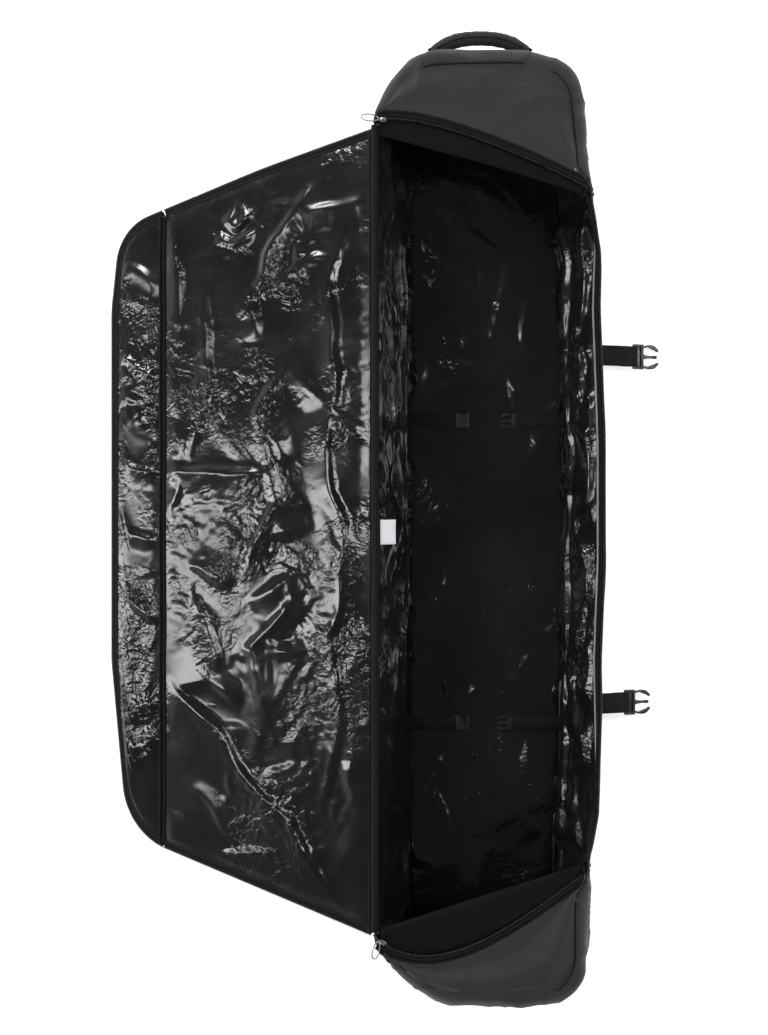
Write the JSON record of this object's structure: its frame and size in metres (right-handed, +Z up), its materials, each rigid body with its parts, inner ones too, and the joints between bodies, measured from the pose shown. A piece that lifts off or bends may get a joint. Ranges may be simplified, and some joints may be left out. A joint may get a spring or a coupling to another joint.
{
  "type": "snowboard bag",
  "caption": "Long padded bag with a zip-round lid folded open on its hinge side, closed hoods at both ends, haul handle and buckled compression straps.",
  "frame": {"origin": "middle of the base, on the floor that the bag lies on", "axes": "+Y along the bag to the head end with the haul handle, +Z up, -X to the hinge and the opened lid"},
  "size_m": [0.9749, 1.6685, 0.2095],
  "materials": {
    "hood_fabric": "matte woven polyester, dark charcoal",
    "shell_fabric": "matte woven polyester, charcoal",
    "foam": "closed-cell foam sheet",
    "lining_film": "glossy coated lining, near black",
    "zip_tape": "flat woven tape, black",
    "piping": "fabric-covered piping",
    "label": "woven satin, blank",
    "webbing": "woven webbing, black",
    "grip_fabric": "padded fabric grip",
    "slider_metal": "nickel plated",
    "buckle_plastic": "moulded acetal, satin"
  },
  "bodies": {
    "base": {"floor_shell": "shell_fabric", "floor_foam": "foam", "floor_lining": "lining_film", "hinge_wall_shell": "shell_fabric", "hinge_wall_foam": "foam", "hinge_wall_lining": "lining_film", "front_wall_shell": "shell_fabric", "front_wall_foam": "foam", "front_wall_lining": "lining_film", "head_wall_shell": "hood_fabric", "head_wall_foam": "foam", "head_wall_lining": "lining_film", "foot_wall_shell": "hood_fabric", "foot_wall_foam": "foam", "foot_wall_lining": "lining_film", "head_hood_shell": "hood_fabric", "head_hood_foam": "foam", "head_hood_lining": "lining_film", "foot_hood_shell": "hood_fabric", "foot_hood_foam": "foam", "foot_hood_lining": "lining_film", "hinge_piping": "piping", "front_zip_tape": "zip_tape", "head_zip_tape": "zip_tape", "foot_zip_tape": "zip_tape", "head_storm_flap": "zip_tape", "foot_storm_flap": "zip_tape", "care_label": "label", "haul_handle_facing": "webbing", "side_handle_patches": "webbing", "outer_strap_patches": "webbing", "inner_strap_patches": "webbing"},
    "lid": {"lid_shell": "shell_fabric", "lid_foam": "foam", "lid_lining": "lining_film", "lid_zip_tape": "zip_tape", "lid_seam_piping": "piping"},
    "lid_side": {"lid_side_shell": "shell_fabric", "lid_side_foam": "foam", "lid_side_lining": "lining_film", "lid_side_zip_tape": "zip_tape", "lid_strap_patches": "webbing"},
    "haul_handle": {"haul_grip": "grip_fabric", "haul_webbing": "webbing"},
    "grab_handle": {"side_handle": "webbing"},
    "head_zip_slider": {"head_slider": "slider_metal"},
    "foot_zip_slider": {"foot_slider": "slider_metal"},
    "head_zip_pull": {"head_pull": "slider_metal"},
    "foot_zip_pull": {"foot_pull": "slider_metal"},
    "head_strap": {"head_outer_strap": "webbing", "head_male_buckle": "buckle_plastic"},
    "foot_strap": {"foot_outer_strap": "webbing", "foot_male_buckle": "buckle_plastic"},
    "head_lid_buckle": {"head_female_buckle": "buckle_plastic"},
    "foot_lid_buckle": {"foot_female_buckle": "buckle_plastic"},
    "head_inner_hinge_half": {"head_inner_hinge_strap": "buckle_plastic"},
    "foot_inner_hinge_half": {"foot_inner_hinge_strap": "buckle_plastic"},
    "head_inner_front_half": {"head_inner_front_strap": "buckle_plastic"},
    "foot_inner_front_half": {"foot_inner_front_strap": "buckle_plastic"}
  },
  "joints": [
    {"name": "lid_hinge", "type": "hinge", "parent": "base", "child": "lid", "pos_m": [-0.204, 0, 0.2], "axis": [0, 1, 0], "range_deg": [0, 202.4]},
    {"name": "lid_side_fold", "type": "hinge", "parent": "lid", "child": "lid_side", "pos_m": [-0.57567, 0, 0.04681], "axis": [0, 1, 0], "range_deg": [0, 90]},
    {"name": "haul_handle_lift", "type": "hinge", "parent": "base", "child": "haul_handle", "pos_m": [-0.02, 0.817, 0.125], "axis": [1, 0, 0], "range_deg": [0, 45]},
    {"name": "grab_handle_lift", "type": "hinge", "parent": "base", "child": "grab_handle", "pos_m": [-0.19612, 0, 0.14893], "axis": [0, 1, 0], "range_deg": [0, 100]},
    {"name": "head_slider_travel", "type": "slide", "parent": "base", "child": "head_zip_slider", "axis": [0.9959, 0.0909, 0], "range_m": [0, 0.025]},
    {"name": "foot_slider_travel", "type": "slide", "parent": "base", "child": "foot_zip_slider", "axis": [0.8757, -0.4828, 0], "range_m": [0, 0.025]},
    {"name": "head_pull_flip", "type": "hinge", "parent": "head_zip_slider", "child": "head_zip_pull", "pos_m": [-0.19502, 0.68946, 0.2085], "axis": [0.118, 0.993, 0], "range_deg": [0, 120]},
    {"name": "foot_pull_flip", "type": "hinge", "parent": "foot_zip_slider", "child": "foot_zip_pull", "pos_m": [-0.19562, -0.70241, 0.2085], "axis": [-0.9665, 0.2566, 0], "range_deg": [0, 120]},
    {"name": "head_strap_lift", "type": "hinge", "parent": "base", "child": "head_strap", "pos_m": [0.18237, 0.3, 0.065], "axis": [0, -1, 0], "range_deg": [0, 62]},
    {"name": "foot_strap_lift", "type": "hinge", "parent": "base", "child": "foot_strap", "pos_m": [0.17832, -0.312, 0.065], "axis": [0, -1, 0], "range_deg": [0, 62]},
    {"name": "head_lid_buckle_swing", "type": "hinge", "parent": "lid_side", "child": "head_lid_buckle", "pos_m": [-0.58012, 0.3, 0.03005], "axis": [0, -1, 0], "range_deg": [0, 45]},
    {"name": "foot_lid_buckle_swing", "type": "hinge", "parent": "lid_side", "child": "foot_lid_buckle", "pos_m": [-0.58012, -0.312, 0.03005], "axis": [0, -1, 0], "range_deg": [0, 45]},
    {"name": "head_inner_hinge_lift", "type": "hinge", "parent": "base", "child": "head_inner_hinge_half", "pos_m": [-0.14704, 0.187, 0.0124], "axis": [0, -1, 0], "range_deg": [0, 80]},
    {"name": "foot_inner_hinge_lift", "type": "hinge", "parent": "base", "child": "foot_inner_hinge_half", "pos_m": [-0.14704, -0.35, 0.0124], "axis": [0, -1, 0], "range_deg": [0, 80]},
    {"name": "head_inner_front_lift", "type": "hinge", "parent": "base", "child": "head_inner_front_half", "pos_m": [0.14098, 0.187, 0.0124], "axis": [0, 1, 0], "range_deg": [0, 80]},
    {"name": "foot_inner_front_lift", "type": "hinge", "parent": "base", "child": "foot_inner_front_half", "pos_m": [0.13374, -0.35, 0.0124], "axis": [0, 1, 0], "range_deg": [0, 80]}
  ],
  "couplings": [
    {"joint": "lid_side_fold", "follows": "lid_hinge", "ratio": 0.4446}
  ]
}
